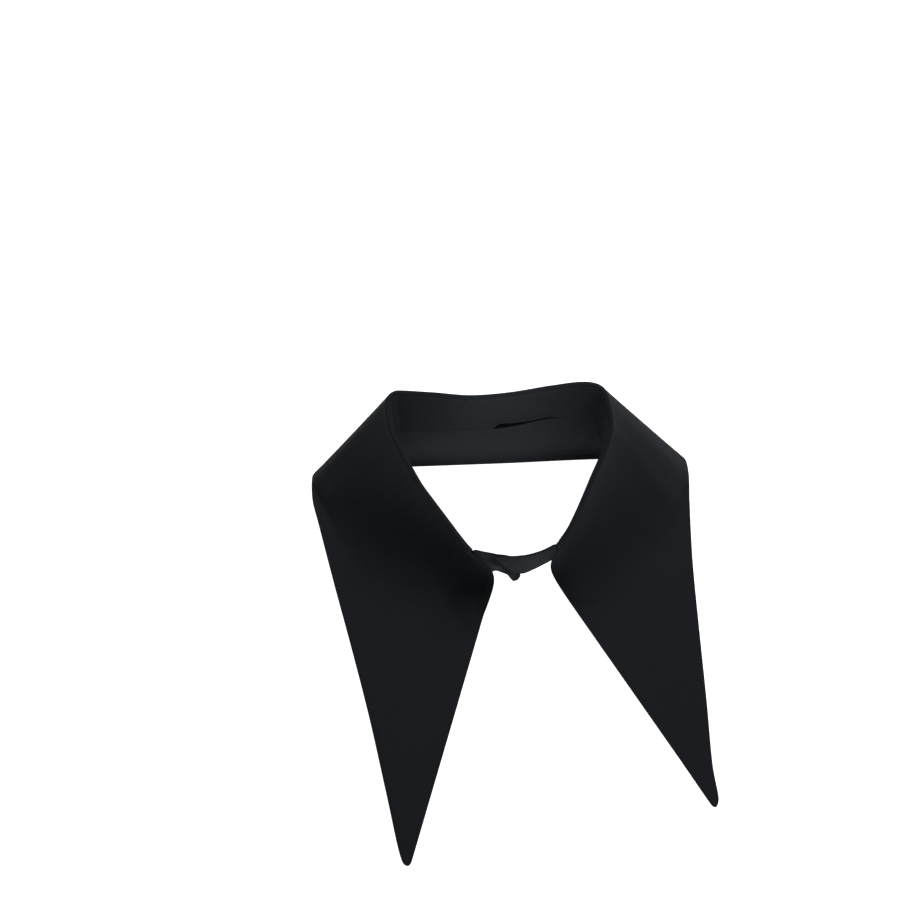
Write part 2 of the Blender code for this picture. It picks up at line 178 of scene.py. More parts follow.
FALL_CREASES = (
    # the soft valley on the wearer's right leaf, from the steep part down to the front edge
    Crease((-52.0, 60.0), (-38.0, 26.0), 7.0, 0.5, 0.5),
    Crease((-41.0, 32.0), (-18.0, -6.0), 4.5, 0.55, 0.35),
    Crease((-29.0, 20.0), (-12.0, -6.0), 5.0, -0.9, 0.4),
    # its fainter counterpart on the other leaf
    Crease((58.0, 60.0), (44.0, 30.0), 8.0, 0.35, 0.5),
    # slack folds that run from the corners into the leaves
    Crease((-78.0, 88.0), (-99.0, 62.0), 9.0, 0.6, 0.5),
    Crease((-84.0, 70.0), (-92.0, 38.0), 8.0, 0.4, 0.5),
    Crease((80.0, 92.0), (103.0, 66.0), 10.0, 0.5, 0.5),
    Crease((86.0, 64.0), (100.0, 30.0), 9.0, 0.35, 0.5),
)

# Along the back the stand's inner layer stands a little off its outer one. Right of the centre it
# is lifted abruptly, and then ever less: how open the seam is at each x, from 0 to 1. A strip of
# the outer layer shows below it, coloured near-black as painted shade for the crevice.
NOTCH_X = (-54.0, -46.0, -4.7, -1.9, 3.0, 6.5, 13.0, 19.0, 30.0, 36.0, 46.0, 52.0)
NOTCH_SHARE = (0.0, 0.09, 0.11, 1.0, 0.97, 0.76, 0.58, 0.44, 0.37, 0.14, 0.09, 0.0)
NOTCH_RISE = 5.2         # how far its lower edge rises and comes forward where it is most open
NOTCH_FORWARD = 1.2
STRIP_THICK = 0.24
STRIP_BEHIND = 0.71      # between the middles of the two layers
STRIP_DROP = 0.4

# The back panel bellies back just above its foot: most at this height, and by this much
FOOT_BEND = 7.0
FOOT_SPLAY = 2.2
FRONT_OF_BACK = 100.0    # the back panel and the stand's back lie behind this y

# The lower band swells forward beside the edge of the band that lies over it, less further off:
# the distances from that edge where this starts, is full and is down to the share that is left
BAND_SWELL = 2.5
SWELL_STARTS = 0.9
SWELL_FULL = 1.9
SWELL_ENDS = 8.0
SWELL_LEFT = 0.4
SWELL_TOP = (15.0, 21.0)     # it fades out between these heights, below the band's top edge
SWELL_SIDE = (-12.0, -5.0)   # and between these x, towards the leaf


def slopes(place, value):
    """Slopes of a smooth curve through the values that never overshoots them."""
    step = np.diff(place)
    rise = np.diff(value, axis=0) / step[:, None]
    slope = np.zeros_like(value)
    slope[0] = rise[0]
    slope[-1] = rise[-1]
    before = rise[:-1]
    after = rise[1:]
    share = (step[1:] / (step[:-1] + step[1:]))[:, None]
    mean = share * before + (1 - share) * after
    limit = 3 * np.minimum(abs(before), abs(after))
    slope[1:-1] = np.where(before * after > 0, np.clip(mean, -limit, limit), 0.0)
    return slope


def rows_at(rows, counts, wanted):
    """Rows read at the wanted places from a smooth curve, `counts[i]` places after given row i."""
    value = np.array(rows, dtype=float)
    place = np.concatenate([[0.0], np.cumsum(counts)])
    slope = slopes(place, value)
    wanted = np.asarray(wanted, dtype=float)
    i = np.clip(np.searchsorted(place, wanted, side="right") - 1, 0, len(counts) - 1)
    h = (place[i + 1] - place[i])[:, None]
    t = ((wanted - place[i])[:, None]) / h
    return (value[i] * (1 + 2 * t) * (1 - t) ** 2 + slope[i] * h * t * (1 - t) ** 2
            + value[i + 1] * t ** 2 * (3 - 2 * t) + slope[i + 1] * h * t ** 2 * (t - 1))


def distance(a, b):
    return float(np.linalg.norm(np.subtract(a, b)))


def fall_rows(fineness, rim=()):
    """The fall's sections: fold, bend, land, edge, hang, tight. `rim` adds rows near both ends."""
    rows = [s.fold + s.bend + s.land + s.edge + s.hang + (s.tight,) for s in FALL_SECTIONS]
    counts = []
    for one, two in zip(FALL_SECTIONS, FALL_SECTIONS[1:]):
        along_fold = distance(one.fold, two.fold) / FOLD_STEP
        along_edge = distance(one.edge, two.edge) / EDGE_STEP
        counts.append(max(1, math.ceil(max(along_fold, along_edge))))
    total = sum(counts)
    wanted = np.linspace(0, total, total * fineness + 1)
    extra = np.array(rim) / fineness
    wanted = np.unique(np.concatenate([wanted, extra, total - extra]))
    return rows_at(rows, counts, wanted)


def outward_normals(points):
    """Level unit vectors that point away from the neck, across a line that runs round it."""
    tangent = np.gradient(np.asarray(points)[:, :2], axis=0)
    tangent /= np.linalg.norm(tangent, axis=1)[:, None] + 1e-9
    return np.column_stack([-tangent[:, 1], tangent[:, 0], np.zeros(len(tangent))])


def lengths(points):
    """Distance along a line of points, from its start."""
    steps = np.linalg.norm(np.diff(points, axis=0), axis=1)
    return np.concatenate([[0.0], np.cumsum(steps)])


def read_along(points, places):
    """Points at the given distances along a line."""
    length = lengths(points)
    return np.column_stack([np.interp(places, length, points[:, k]) for k in range(3)])


def bend_curve(start, middle, end, steps, tight=1.0):
    """A curve that leaves `start` and reaches `end` in line with `middle`, nearer to it if tight."""
    t = np.linspace(0.0, 1.0, steps + 1)[:, None]
    pull = tight * 2 * t * (1 - t)
    total = (1 - t) ** 2 + pull + t ** 2
    return (start * (1 - t) ** 2 + middle * pull + end * t ** 2) / total


def rim_places(length, count, rim=RIM_PLACES, power=1.0):
    """Distances along a line of this length: `count` even steps, with more lines near both rims."""
    near = np.array(rim)
    inside = near[-1] + (length - 2 * near[-1]) * np.linspace(0.0, 1.0, count + 1) ** power
    return np.concatenate([near[:-1], inside, length - near[:-1][::-1]])


FALL_LINES = 74          # steps across a section of the fall
STAND_LINES = 26


def fall_section(row, outward):
    """Middle of the wall along one section, from its seam over the roll to the outer edge."""
    fold, bend, land, edge = row[0:3], row[3:6], row[6:9], row[9:12]
    up = np.array([0.0, 0.0, 1.0])
    axis = fold - up * ROLL_RADIUS
    seam = fold - up * SEAM_DROP - outward * ROLL_RADIUS
    angles = np.linspace(math.pi, 0.0, 17)
    roll = [axis + outward * ROLL_RADIUS * math.cos(a) + up * ROLL_RADIUS * math.sin(a) for a in angles]
    hang = bend_curve(roll[-1], bend, land, CURVE_STEPS, row[16])
    hang = np.vstack([hang, edge])
    to_foot = np.linalg.norm(hang - edge, axis=1)
    at_back = ease(edge[1], 99.0, 108.0) * (1 - ease(abs(edge[0]), 95.0, 112.0))
    height = to_foot / FOOT_BEND
    hang[:, 1] += at_back * FOOT_SPLAY * height * np.exp(1 - height)
    line = np.vstack([seam, roll[:-1], hang])
    length = lengths(line)[-1]
    over_roll = SEAM_DROP + ROLL_RADIUS * math.pi
    near = np.array(RIM_PLACES)
    roll_places = np.linspace(near[-1], over_roll, 16)
    last = length - near[-1]
    panel_places = over_roll + (last - over_roll) * np.linspace(0.0, 1.0, FALL_LINES + 1) ** 1.15
    places = np.concatenate([near[:-1], roll_places, panel_places[1:], length - near[:-1][::-1]])
    return read_along(line, places)


def fall_middle():
    rim = [0.15, 0.35, 0.6]
    rows = fall_rows(FALL_FINENESS, rim)
    normals = outward_normals(rows[:, 0:3])
    return np.array([fall_section(row, normal) for row, normal in zip(rows, normals)])


def ease(value, low, high):
    """0 below low, 1 above high, smooth between."""
    t = np.clip((value - low) / (high - low), 0.0, 1.0)
    return t * t * (3 - 2 * t)


def stand_sections():
    """The stand's wall as it would be without its lifted part: a finely read line for each row."""
    rows = fall_rows(1)
    normals = outward_normals(rows[:, 0:3])
    up = np.array([0.0, 0.0, 1.0])
    body = []
    for row, outward in zip(rows, normals):
        top = row[0:3] - up * (SEAM_DROP + SEAM_GAP) - outward * ROLL_RADIUS
        height = min(row[12] + SEAM_RAISED, top[2] - FLAT)
        bottom = top + np.array([row[13], row[14], -height])
        body.append(tuple(top) + tuple(bottom) + (row[15],))
    body = body[CORNER_ROWS:-CORNER_ROWS]
    right = [b.top + b.bottom + (b.belly,) for b in RIGHT_BAND]
    left = [b.top + b.bottom + (b.belly,) for b in LEFT_BAND]
    counts = ([BAND_STEPS] * (len(right) - 1) + [1] + [1] * (len(body) - 1)
              + [1] + [BAND_STEPS] * (len(left) - 1))
    total = sum(counts)
    wanted = np.linspace(0, total, total * STAND_FINENESS + 1)
    extra = np.array([0.05, 0.12, 0.25, 0.5]) / STAND_FINENESS
    wanted = np.unique(np.concatenate([wanted, extra, total - extra]))
    rows = rows_at(right + body + left, counts, wanted)
    normals = outward_normals((rows[:, 0:3] + rows[:, 3:6]) / 2)
    sections = []
    for row, outward in zip(rows, normals):
        top, bottom, belly = row[0:3], row[3:6], row[6]
        middle = (top + bottom) / 2 - outward * belly
        sections.append(bend_curve(top, 2 * middle - (top + bottom) / 2, bottom, 60))
    return sections


def notch_share(foot):
    """How open the stand's lower seam is at this place, from 0 to 1."""
    if foot[1] < FRONT_OF_BACK:
        return 0.0
    return float(np.interp(foot[0], NOTCH_X, NOTCH_SHARE))


def stand_middle(sections):
    """Middle of the stand's wall, from one band end round the neck to the other."""
    grid = []
    for line in sections:
        share = notch_share(line[-1])
        length = lengths(line)[-1] - NOTCH_RISE * share
        places = rim_places(length, STAND_LINES)
        points = read_along(line, places)
        points[:, 1] -= NOTCH_FORWARD * share * (places / length) ** 6
        grid.append(points)
    return swell_beside_band(np.array(grid))


def strip_middle(sections):
    """Middle of the strip of the stand's outer layer that shows under the lifted inner one."""
    grid = []
    for line in sections:
        x, y = line[-1][0], line[-1][1]
        if y > FRONT_OF_BACK and NOTCH_X[0] < x < NOTCH_X[-1]:
            length = lengths(line)[-1]
            grid.append(read_along(line, np.linspace(0.5 * length, length, 9)))
    grid = np.array(grid)
    grid += surface_normals(grid) * STRIP_BEHIND
    grid[:, -1, 2] -= STRIP_DROP
    return grid


def swell_beside_band(grid):
    """The lower band's end swells forward all along the edge of the band over it."""
    edge = np.array([(b.bottom[0], b.bottom[2]) for b in LEFT_BAND[3:]] + [LEFT_BAND[-1].top[::2]])
    rows = grid.shape[0]
    for i in range(rows // 4):
        for k in range(grid.shape[1]):
            x, y, z = grid[i, k]
            if x < -12 or x > 14 or y > 40:
                continue
            limit = np.interp(x, edge[::-1, 0], edge[::-1, 1])
            if x > edge[-1, 0] and z > limit:
                continue
            gap = min(distance(p, (x, z)) for p in np.array(
                [a + (b - a) * t for a, b in zip(edge, edge[1:]) for t in (0.0, 0.2, 0.4, 0.6, 0.8)]))
            near = 1 - (1 - SWELL_LEFT) * ease(gap, SWELL_FULL, SWELL_ENDS)
            swell = ease(gap, SWELL_STARTS, SWELL_FULL) * near * (1 - ease(z, *SWELL_TOP))
            grid[i, k, 1] -= BAND_SWELL * swell * ease(x, *SWELL_SIDE)
    return grid


def surface_normals(grid):
    """Unit normals of a surface given by a grid of points; the fall's point up and outward."""
    along_rows = np.gradient(grid, axis=0)
    along_lines = np.gradient(grid, axis=1)
    normal = np.cross(along_rows, along_lines)
    return normal / (np.linalg.norm(normal, axis=2)[..., None] + 1e-12)


def to_line(points, line):
    """Distance from each point to a line of points."""
    flat = points.reshape(-1, 3)
    best = np.full(len(flat), 1e9)
    for a, b in zip(line[:-1], line[1:]):
        way = b - a
        share = np.clip(((flat - a) @ way) / (way @ way + 1e-12), 0.0, 1.0)
        gap = flat - a - share[:, None] * way
        best = np.minimum(best, np.einsum("ij,ij->i", gap, gap))
    return np.sqrt(best).reshape(points.shape[:-1])


def crease_lift(grid, creases):
    """How far the creases move each point of the surface along its normal."""
    plan = grid[..., :2]
    lift = np.zeros(plan.shape[:2])
    for crease in creases:
        start, end = np.array(crease.start), np.array(crease.end)
        way = end - start
        share = ((plan - start) @ way) / (way @ way)
        side = np.linalg.norm(plan - start - np.clip(share, 0, 1)[..., None] * way, axis=2)
        fading = ease(share, -0.02, crease.fade) * (1 - ease(share, 1 - crease.fade, 1.02))
        lift -= crease.depth * fading * np.exp(-(side / crease.width) ** 2)
    return lift


def waves(places, seed, longest, shortest):
    """An uneven row of small waves, between -1 and 1, along the given distances."""
    rng = np.random.default_rng(seed)
    total = np.zeros_like(places)
    for _ in range(7):
        wavelength = rng.uniform(shortest, longest)
        total += np.sin(places * 2 * math.pi / wavelength + rng.uniform(0, 2 * math.pi))
    return total / 3.0


def rim_round(gap):
    """Share of the wall's thickness at this distance from the nearest rim."""
    near = np.clip(gap / RIM_RADIUS, 0.0, 1.0)
    return np.sqrt(np.maximum(0.0, 1 - (1 - near) ** 2))


def cloth_shell(name, middle, upper_half, lower_half, layout, material):
    """A closed thin shell round a middle surface, with faces this far out on both sides."""
    rows, lines = middle.shape[:2]
    normal = surface_normals(middle)
    upper = middle + normal * upper_half[..., None]
    lower = middle - normal * lower_half[..., None]
    for face in (upper, lower):
        face[..., 2] = np.maximum(face[..., 2], 0.0)
    number = np.arange(rows * lines).reshape(rows, lines)
    inner = np.zeros((rows, lines), dtype=bool)
    inner[1:-1, 1:-1] = True
    under = number.copy()
    under[inner] = rows * lines + np.arange(inner.sum())
    points = np.vstack([upper.reshape(-1, 3), lower[inner]]) + CENTRE

    def quads(index, flip):
        a, b = index[:-1, :-1], index[1:, :-1]
        c, d = index[1:, 1:], index[:-1, 1:]
        order = (a, d, c, b) if flip else (a, b, c, d)
        return np.stack(order, axis=-1).reshape(-1, 4)

    faces = np.vstack([quads(number, False), quads(under, True)])
    mesh = bpy.data.meshes.new(name)
    mesh.from_pydata((points * MM).tolist(), [], faces.tolist())
    mesh.materials.append(material)
    corner_layout = np.vstack([layout[quads(number, f).reshape(-1) // lines,
                                      quads(number, f).reshape(-1) % lines] for f in (False, True)])
    uv = mesh.uv_layers.new(name="cut")
    uv.data.foreach_set("uv", corner_layout.astype(np.float32).ravel())
    mesh.shade_smooth()
    mesh.set_sharp_from_angle(angle=SHARP_FROM)
    mesh.validate()
    piece = bpy.data.objects.new(name, mesh)
    bpy.context.scene.collection.objects.link(piece)
    return piece


def fall_layout(middle):
    """Place of each point on the flat cloth, in metres: leaves rolled out, the back upright."""
    rows, lines = middle.shape[:2]
    layout = np.zeros((rows, lines, 2))
    for i in range(rows):
        line = middle[i]
        length = lengths(line)
        foot = line[-1]
        inward = line[lines // 2] - foot
        inward = inward[:2] / (np.linalg.norm(inward[:2]) + 1e-9)
        if foot[1] > 100 and abs(foot[0]) < 113:
            layout[i, :, 0] = line[:, 0]
            layout[i, :, 1] = 300 + (length[-1] - length)
        else:
            layout[i] = foot[:2] + inward * (length[-1] - length)[:, None]
    return layout * MM


def stand_layout(middle):
    top = lengths(middle[:, 0])
    layout = np.zeros(middle.shape[:2] + (2,))
    for i in range(len(middle)):
        layout[i, :, 0] = top[i]
        layout[i, :, 1] = lengths(middle[i])
    return layout * MM


def edge_gaps(middle):
    """Distances from each point to the fall's two front edges and to its outer edge."""
    outer = to_line(middle, middle[::2, -1])
    front = np.minimum(to_line(middle, middle[0, ::2]), to_line(middle, middle[-1, ::2]))
    return front, outer


def seam_relief(gap, run, inset, seed):
    """Height of a face near a turned, stitched edge: allowance inside, groove, small waves."""
    band = 1 - ease(gap, ALLOWANCE_WIDTH - 0.8, ALLOWANCE_WIDTH + 0.8)
    groove = np.exp(-((gap - inset) / 0.4) ** 2)
    near = np.exp(-((gap - inset) / 2.2) ** 2)
    return ALLOWANCE * band - GROOVE * groove + PUCKER * near * waves(run, seed, 11.0, 4.0)


def make_fall(material):
    middle = fall_middle()
    lift = crease_lift(middle, FALL_CREASES)
    normal = surface_normals(middle)
    middle = middle + normal * lift[..., None]
    middle[..., 2] = np.maximum(middle[..., 2], np.minimum(FLAT, EDGE_LIFT + 0.05))
    front, outer = edge_gaps(middle)
    seam = to_line(middle, middle[:, 0])
    rim = rim_round(np.minimum(np.minimum(front, outer), seam * RIM_RADIUS / SEAM_RIM))
    run = np.repeat(lengths(middle[:, -1])[:, None], middle.shape[1], axis=1)
    down = np.array([lengths(line) for line in middle])
    nearest = np.minimum(front, outer)
    where = np.where(front < outer, down, run)
    face = seam_relief(nearest, where, STITCH_INSET, 3)
    back = seam_relief(nearest, where, STITCH_INSET, 4)
    half = (CLOTH / 2 - 0.08) * rim
    upper = half + face * rim
    lower = half + back * rim
    piece = cloth_shell("fall_cloth", middle, upper, lower, fall_layout(middle), material)
    return piece, middle, normal, front, outer, upper, lower


def make_stand(material):
    sections = stand_sections()
    middle = stand_middle(sections)
    seam = to_line(middle, middle[:, 0])
    free = to_line(middle, np.vstack([middle[0], middle[1:-1, -1], middle[-1, ::-1]]))
    in_fold = middle[:, 0, 1] > FOLD_FRONT
    free = np.where(in_fold[:, None], free, np.minimum(free, seam))
    rim = rim_round(np.minimum(free, np.where(in_fold[:, None], seam * RIM_RADIUS / SEAM_RIM, free)))
    run = np.repeat(lengths(middle[:, 0])[:, None], middle.shape[1], axis=1)
    face = seam_relief(free, run, STAND_INSET, 5) * STAND_RELIEF
    puckered = ease(middle[..., 0], -36.0, -26.0) * (1 - ease(middle[..., 0], -8.0, 0.0)) * (
        middle[..., 1] > FRONT_OF_BACK)
    pucker = SEAM_PUCKER * puckered * waves(run, 6, 9.0, 3.5) * np.exp(-(seam / SEAM_PUCKER_DEEP) ** 2)
    half = (CLOTH / 2 - 0.08) * rim
    upper = half + face * rim - pucker * ease(seam, 0.0, 0.8)
    lower = half + face * rim + pucker * ease(seam, 0.0, 0.8)
    piece = cloth_shell("stand_cloth", middle, upper, lower, stand_layout(middle), material)
    return piece, middle, free, upper, sections


def make_strip(sections, material):
    middle = strip_middle(sections)
    half = np.full(middle.shape[:2], STRIP_THICK / 2)
    half[0] = half[-1] = half[:, 0] = half[:, -1] = 0.05
    return cloth_shell("stand_outer_strip_painted_shade", middle, half, half, stand_layout(middle), material)


def fall_stitch_line(middle, front, outer):
    """Grid places (row, line) of the fall's topstitching: down one front, round, up the other."""
    rows, lines = front.shape
    places = []

    def crossing(values, target):
        above = np.nonzero((values[:-1] < target) & (values[1:] >= target))[0]
        if len(above) == 0:
            return None
        k = above[0]
        return k + (target - values[k]) / (values[k + 1] - values[k])

    first_line = 24
    for k in range(first_line, lines - 1):
        i = crossing(front[:rows // 2, k], STITCH_INSET)
        if i is not None and outer[int(i), k] > STITCH_INSET:
            places.append((i, k))
    for i in range(rows):
        k = crossing(outer[i, ::-1], STITCH_INSET)
        if k is not None and front[i, int(lines - 1 - k)] > STITCH_INSET:
            places.append((i, lines - 1 - k))
    for k in range(lines - 2, first_line - 1, -1):
        i = crossing(front[rows // 2:, k][::-1], STITCH_INSET)
        if i is not None:
            i = rows - 1 - i
            if outer[int(i), k] > STITCH_INSET:
                places.append((i, k))
    return np.array(places)


def read_grid(grid, places):
    """Values of a grid at fractional (row, line) places."""
    i = np.clip(places[:, 0].astype(int), 0, grid.shape[0] - 2)
    k = np.clip(places[:, 1].astype(int), 0, grid.shape[1] - 2)
    s = (places[:, 0] - i)[:, None]
    t = (places[:, 1] - k)[:, None]
    return (grid[i, k] * (1 - s) * (1 - t) + grid[i + 1, k] * s * (1 - t)
            + grid[i, k + 1] * (1 - s) * t + grid[i + 1, k + 1] * s * t)


def stitch_mesh(name, runs, material):
    """Small rounded stitches set end to end along lines that lie on the cloth."""
    around = 6
    rings = ((-0.5, 0.35, -0.55), (-0.36, 0.9, -0.1), (-0.12, 1.0, 0.35),
             (0.12, 1.0, 0.35), (0.36, 0.9, -0.1), (0.5, 0.35, -0.55))
    points = []
    faces = []
    for line, normals in runs:
        length = lengths(line)
        for middle in np.arange(STITCH_PITCH / 2, length[-1] - STITCH_PITCH / 2, STITCH_PITCH):
            centre = read_along(line, [middle])[0]
            ahead = read_along(line, [middle - 0.4, middle + 0.4])
            way = ahead[1] - ahead[0]
            way /= np.linalg.norm(way) + 1e-9
            up = np.array([np.interp(middle, length, normals[:, k]) for k in range(3)])
            up -= way * (up @ way)
            up /= np.linalg.norm(up) + 1e-9
            side = np.cross(up, way)
            base = len(points)
            for place, width, height in rings:
                ring_centre = centre + way * place * STITCH_LENGTH + up * height * STITCH_RADIUS
                for a in range(around):
                    angle = 2 * math.pi * a / around
                    points.append(ring_centre + STITCH_RADIUS * width
                                  * (side * math.cos(angle) * 1.25 + up * math.sin(angle)))
            for r in range(len(rings) - 1):
                for a in range(around):
                    b = (a + 1) % around
                    faces.append((base + r * around + a, base + r * around + b,
                                  base + (r + 1) * around + b, base + (r + 1) * around + a))
            faces.append(tuple(base + a for a in reversed(range(around))))
            last = base + (len(rings) - 1) * around
            faces.append(tuple(last + a for a in range(around)))
    mesh = bpy.data.meshes.new(name)
    mesh.from_pydata(((np.array(points) + CENTRE) * MM).tolist(), [], faces)
    mesh.materials.append(material)
    mesh.shade_smooth()
    piece = bpy.data.objects.new(name, mesh)
    bpy.context.scene.collection.objects.link(piece)
    return piece


def make_fall_stitches(middle, normal, front, outer, upper, lower, material):
    places = fall_stitch_line(middle, front, outer)
    line = read_grid(middle, places)
    out = read_grid(normal, places)
    out /= np.linalg.norm(out, axis=1)[:, None]
    high = read_grid(upper[..., None], places)
    low = read_grid(lower[..., None], places)
    shown = (line + out * high, out)
    under = line - out * low
    clear = under[:, 2] > 0.35
    hidden = []
    start = None
    for i, free in enumerate(clear):
        if free and start is None:
            start = i
        if start is not None and (not free or i == len(clear) - 1):
            if i - start > 3:
                hidden.append((under[start:i], -out[start:i]))
            start = None
    return stitch_mesh("fall_stitches", [shown] + hidden, material)


def make_stand_stitches(middle, gap, upper, material):
    """Edge stitching along the stand's lower edge and the bands' free tops, on both faces."""
    normal = surface_normals(middle)
    rows, lines = gap.shape
    in_fold = np.nonzero(middle[:, 0, 1] > FOLD_FRONT)[0]
    runs = []
    for first, last, from_top in ((0, rows, False), (0, in_fold[0], True), (in_fold[-1] + 1, rows, True)):
        places = []
        for i in range(first, last):
            values = gap[i] if from_top else gap[i, ::-1]
            above = np.nonzero((values[:-1] < STAND_INSET) & (values[1:] >= STAND_INSET))[0]
            if len(above):
                k = above[0] + (STAND_INSET - values[above[0]]) / (values[above[0] + 1] - values[above[0]])
                places.append((i, k if from_top else lines - 1 - k))
        places = np.array(places)
        line = read_grid(middle, places)
        out = read_grid(normal, places)
        high = read_grid(upper[..., None], places)
        runs.append((line + out * high, out))
        runs.append((line - out * high, -out))
    return stitch_mesh("stand_stitches", runs, material)


# Materials


def new_material(name):
    material = bpy.data.materials.new(name)
    material.use_nodes = True
    tree = material.node_tree
    return material, tree, tree.nodes["Principled BSDF"]


def add(tree, kind, **values):
    node = tree.nodes.new(kind)
    for key, value in values.items():
        setattr(node, key, value)
    return node


def mix_colours(tree, factor, first, second):
    mix = add(tree, "ShaderNodeMix", data_type="RGBA")
    mix.inputs["A"].default_value = first
    mix.inputs["B"].default_value = second
    tree.links.new(factor, mix.inputs["Factor"])
    return mix.outputs["Result"]


def shirting(name, dark, light, weave_strength=0.35):
    """Fine plain-woven black cotton: close weave, uneven yarns, and a little fibre sheen."""
    material, tree, shader = new_material(name)
    place = add(tree, "ShaderNodeUVMap", uv_map="cut")
    solid_place = add(tree, "ShaderNodeTexCoord")
    pitch = 0.00032

    def threads(direction):
        wave = add(tree, "ShaderNodeTexWave", wave_type="BANDS", bands_direction=direction)
        wave.inputs["Scale"].default_value = 2 * math.pi / (20 * pitch)
        wave.inputs["Distortion"].default_value = 0.35
        wave.inputs["Detail"].default_value = 1.0
        wave.inputs["Detail Scale"].default_value = 0.15
        tree.links.new(place.outputs["UV"], wave.inputs["Vector"])
        return wave.outputs["Fac"]

    weave = add(tree, "ShaderNodeMath", operation="MULTIPLY")
    tree.links.new(threads("X"), weave.inputs[0])
    tree.links.new(threads("Y"), weave.inputs[1])

    cloudy = add(tree, "ShaderNodeTexNoise")
    cloudy.inputs["Scale"].default_value = 22.0
    cloudy.inputs["Detail"].default_value = 4.0
    tree.links.new(solid_place.outputs["Object"], cloudy.inputs["Vector"])
    fibres = add(tree, "ShaderNodeTexNoise")
    fibres.inputs["Scale"].default_value = 1500.0
    fibres.inputs["Detail"].default_value = 3.0
    tree.links.new(solid_place.outputs["Object"], fibres.inputs["Vector"])

    shade = add(tree, "ShaderNodeMath", operation="MULTIPLY_ADD")
    tree.links.new(cloudy.outputs["Fac"], shade.inputs[0])
    shade.inputs[1].default_value = 0.7
    half = add(tree, "ShaderNodeMath", operation="MULTIPLY")
    tree.links.new(weave.outputs[0], half.inputs[0])
    half.inputs[1].default_value = 0.45
    tree.links.new(half.outputs[0], shade.inputs[2])
    tree.links.new(mix_colours(tree, shade.outputs[0], dark, light), shader.inputs["Base Color"])

    rough = add(tree, "ShaderNodeMapRange")
    rough.inputs["To Min"].default_value = 0.74
    rough.inputs["To Max"].default_value = 0.86
    tree.links.new(fibres.outputs["Fac"], rough.inputs["Value"])
    tree.links.new(rough.outputs["Result"], shader.inputs["Roughness"])

    height = add(tree, "ShaderNodeMath", operation="MULTIPLY_ADD")
    tree.links.new(fibres.outputs["Fac"], height.inputs[0])
    height.inputs[1].default_value = 0.35
    tree.links.new(weave.outputs[0], height.inputs[2])
    bump = add(tree, "ShaderNodeBump")
    bump.inputs["Strength"].default_value = weave_strength
    bump.inputs["Distance"].default_value = 0.00006
    tree.links.new(height.outputs[0], bump.inputs["Height"])
    tree.links.new(bump.outputs["Normal"], shader.inputs["Normal"])

    shader.inputs["Specular IOR Level"].default_value = 0.12
    shader.inputs["Sheen Weight"].default_value = 0.015
    shader.inputs["Sheen Roughness"].default_value = 0.5
    shader.inputs["Sheen Tint"].default_value = (0.8, 0.88, 1.0, 1.0)
    return material


def thread():
    """Black sewing thread, a little glossier than the cloth, with its twist as a fine bump."""
    material, tree, shader = new_material("sewing_thread")
    place = add(tree, "ShaderNodeTexCoord")
    twist = add(tree, "ShaderNodeTexNoise")
    twist.inputs["Scale"].default_value = 4000.0
    tree.links.new(place.outputs["Object"], twist.inputs["Vector"])
    colour = mix_colours(tree, twist.outputs["Fac"], (0.010, 0.0115, 0.013, 1), (0.017, 0.019, 0.022, 1))
    tree.links.new(colour, shader.inputs["Base Color"])
    bump = add(tree, "ShaderNodeBump")
    bump.inputs["Strength"].default_value = 0.4
    bump.inputs["Distance"].default_value = 0.00005
    tree.links.new(twist.outputs["Fac"], bump.inputs["Height"])
    tree.links.new(bump.outputs["Normal"], shader.inputs["Normal"])
    shader.inputs["Roughness"].default_value = 0.7
    shader.inputs["Specular IOR Level"].default_value = 0.25
    return material


def snap_plastic():
    """Moulded black snap: smooth satin with fine grain."""
    material, tree, shader = new_material("snap_black")
    place = add(tree, "ShaderNodeTexCoord")
    grain = add(tree, "ShaderNodeTexNoise")
    grain.inputs["Scale"].default_value = 2500.0
    grain.inputs["Detail"].default_value = 2.0
    tree.links.new(place.outputs["Object"], grain.inputs["Vector"])
    colour = mix_colours(tree, grain.outputs["Fac"], (0.014, 0.014, 0.015, 1), (0.022, 0.022, 0.024, 1))
    tree.links.new(colour, shader.inputs["Base Color"])
    bump = add(tree, "ShaderNodeBump")
    bump.inputs["Strength"].default_value = 0.15
    bump.inputs["Distance"].default_value = 0.00003
    tree.links.new(grain.outputs["Fac"], bump.inputs["Height"])
    tree.links.new(bump.outputs["Normal"], shader.inputs["Normal"])
    shader.inputs["Roughness"].default_value = 0.38
    return material


def painted_shade_cloth():
    """Painted shade: a near-black, dull cloth that stands in for the shade in the stand's open lower seam."""
    material, tree, shader = new_material("stand_gap_painted_shade")
    place = add(tree, "ShaderNodeTexCoord")
    lint = add(tree, "ShaderNodeTexNoise")
    lint.inputs["Scale"].default_value = 900.0
    lint.inputs["Detail"].default_value = 3.0
    tree.links.new(place.outputs["Object"], lint.inputs["Vector"])
    colour = mix_colours(tree, lint.outputs["Fac"], (0.0012, 0.0013, 0.0015, 1), (0.003, 0.0032, 0.0036, 1))
    tree.links.new(colour, shader.inputs["Base Color"])
    shader.inputs["Roughness"].default_value = 0.95
    shader.inputs["Specular IOR Level"].default_value = 0.02
    return material


def table_white():
    """A white light table: matt, and lit evenly from below."""
    material, tree, shader = new_material("table_white")
    shader.inputs["Base Color"].default_value = (0.86, 0.86, 0.86, 1.0)
    shader.inputs["Roughness"].default_value = 0.9
    shader.inputs["Specular IOR Level"].default_value = 0.1
    shader.inputs["Emission Color"].default_value = (1.0, 1.0, 1.0, 1.0)
    shader.inputs["Emission Strength"].default_value = TABLE_GLOW
    return material


# Floor, light and camera

LOOKS_AT = np.array([-31.0, 123.5, 0.0]) + CENTRE    # the point of the table behind the picture's middle
CAMERA_ELEVATION = math.radians(56)
CAMERA_DISTANCE = 790.0
LENS = 50.0                                # with a 36 mm sensor

